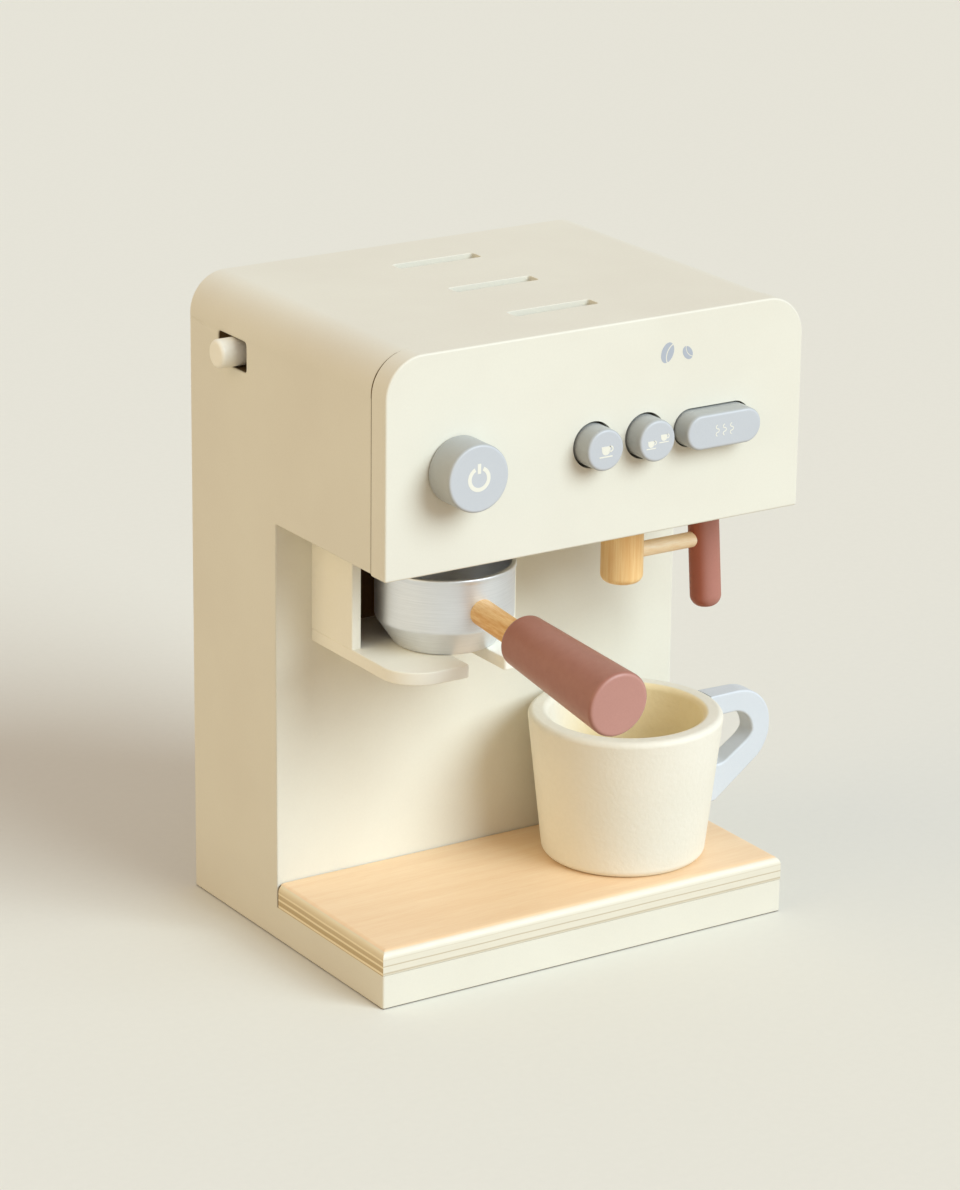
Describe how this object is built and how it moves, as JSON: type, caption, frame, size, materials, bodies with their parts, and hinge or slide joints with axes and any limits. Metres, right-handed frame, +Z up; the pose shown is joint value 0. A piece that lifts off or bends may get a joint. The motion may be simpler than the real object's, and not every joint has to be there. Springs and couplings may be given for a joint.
{
  "type": "toy coffee maker",
  "caption": "Wooden play espresso machine with a lift-out portafilter, a swinging steam wand, push buttons, a turning knob and a cup on its drip tray.",
  "frame": {"origin": "middle of the flat underside of the base", "axes": "+Z up, -Y out of the front with the knob and the buttons, +X to the right as seen from the front"},
  "size_m": [0.2048, 0.2139, 0.247],
  "materials": {
    "cream_paint": "satin cream paint on wood",
    "column_paint": "satin cream paint on wood",
    "inner_board": "bare fibreboard and pine inside the body",
    "fork_paint": "satin cream paint on wood",
    "tray_plywood": "clear-varnished birch plywood",
    "button_paint": "satin grey-blue paint on wood",
    "peg_paint": "satin cream paint on a dowel",
    "maple": "clear-varnished maple dowel",
    "pin_wood": "bare dowel",
    "washer_plastic": "plain",
    "screw_steel": "zinc plated",
    "spring_steel": "drawn wire",
    "bowl_metal": "brushed round",
    "terracotta_paint": "satin red-brown paint on a turned dowel",
    "cup_paint": "satin cream paint on turned wood",
    "cup_handle_paint": "satin pale blue-grey paint on wood"
  },
  "bodies": {
    "machine": {"side_board_left": "cream_paint", "side_board_right": "cream_paint", "top_board": "cream_paint", "base_board": "inner_board", "column_board": "column_paint", "back_board": "inner_board", "back_screws": "screw_steel", "corner_battens": "inner_board", "housing_floor": "inner_board", "tray_board": "tray_plywood", "fascia_board": "cream_paint", "fascia_pins": "pin_wood", "button_guide": "inner_board", "guide_spacers": "inner_board", "slider_rail": "inner_board", "bracket_cheek_left": "fork_paint", "bracket_cheek_right": "fork_paint", "fork_plate": "fork_paint", "bracket_pins": "pin_wood", "spring_single": "spring_steel", "spring_double": "spring_steel", "spring_long": "spring_steel"},
    "power_knob": {"knob": "button_paint", "knob_spindle": "pin_wood", "knob_washer": "washer_plastic", "knob_screw": "screw_steel"},
    "single_button": {"button_single": "button_paint", "button_single_stem": "pin_wood", "button_single_stop": "washer_plastic"},
    "double_button": {"button_double": "button_paint", "button_double_stem": "pin_wood", "button_double_stop": "washer_plastic"},
    "long_button": {"button_long": "button_paint", "button_long_stem": "pin_wood", "button_long_stop": "washer_plastic"},
    "side_slider": {"side_peg": "peg_paint", "slider_block": "inner_board"},
    "portafilter": {"portafilter_bowl": "bowl_metal", "portafilter_shaft": "maple", "portafilter_screw": "screw_steel", "portafilter_handle": "terracotta_paint"},
    "steam_arm": {"steam_hub": "maple", "steam_hub_spindle": "pin_wood", "steam_hub_washer": "washer_plastic", "steam_hub_screw": "screw_steel", "steam_peg": "maple", "steam_wand": "terracotta_paint"},
    "cup": {"cup_body": "cup_paint", "cup_pins": "pin_wood", "cup_handle": "cup_handle_paint"}
  },
  "joints": [
    {"name": "knob_turn", "type": "hinge", "parent": "machine", "child": "power_knob", "pos_m": [-0.0603, -0.0785, 0.2028], "axis": [0, -1, 0], "continuous": true},
    {"name": "button_single_press", "type": "slide", "parent": "machine", "child": "single_button", "axis": [0, 1, 0], "range_m": [0, 0.006], "stiffness_N_per_m": 120, "springref_m": -0.002, "deforming": ["spring_single"]},
    {"name": "button_double_press", "type": "slide", "parent": "machine", "child": "double_button", "axis": [0, 1, 0], "range_m": [0, 0.006], "stiffness_N_per_m": 120, "springref_m": -0.002, "deforming": ["spring_double"]},
    {"name": "button_long_press", "type": "slide", "parent": "machine", "child": "long_button", "axis": [0, 1, 0], "range_m": [0, 0.006], "stiffness_N_per_m": 120, "springref_m": -0.002, "deforming": ["spring_long"]},
    {"name": "side_peg_slide", "type": "slide", "parent": "machine", "child": "side_slider", "axis": [0, 1, 0], "range_m": [-0.0045, 0.0045]},
    {"name": "portafilter_pull", "type": "slide", "parent": "machine", "child": "portafilter", "axis": [0, -1, 0], "range_m": [0, 0.1]},
    {"name": "steam_swivel", "type": "hinge", "parent": "machine", "child": "steam_arm", "pos_m": [0.0343, -0.038, 0.165], "axis": [0, 0, 1], "range_deg": [-100, 45]},
    {"name": "cup_slide", "type": "slide", "parent": "machine", "child": "cup", "axis": [0, -1, 0], "range_m": [0, 0.09]}
  ]
}
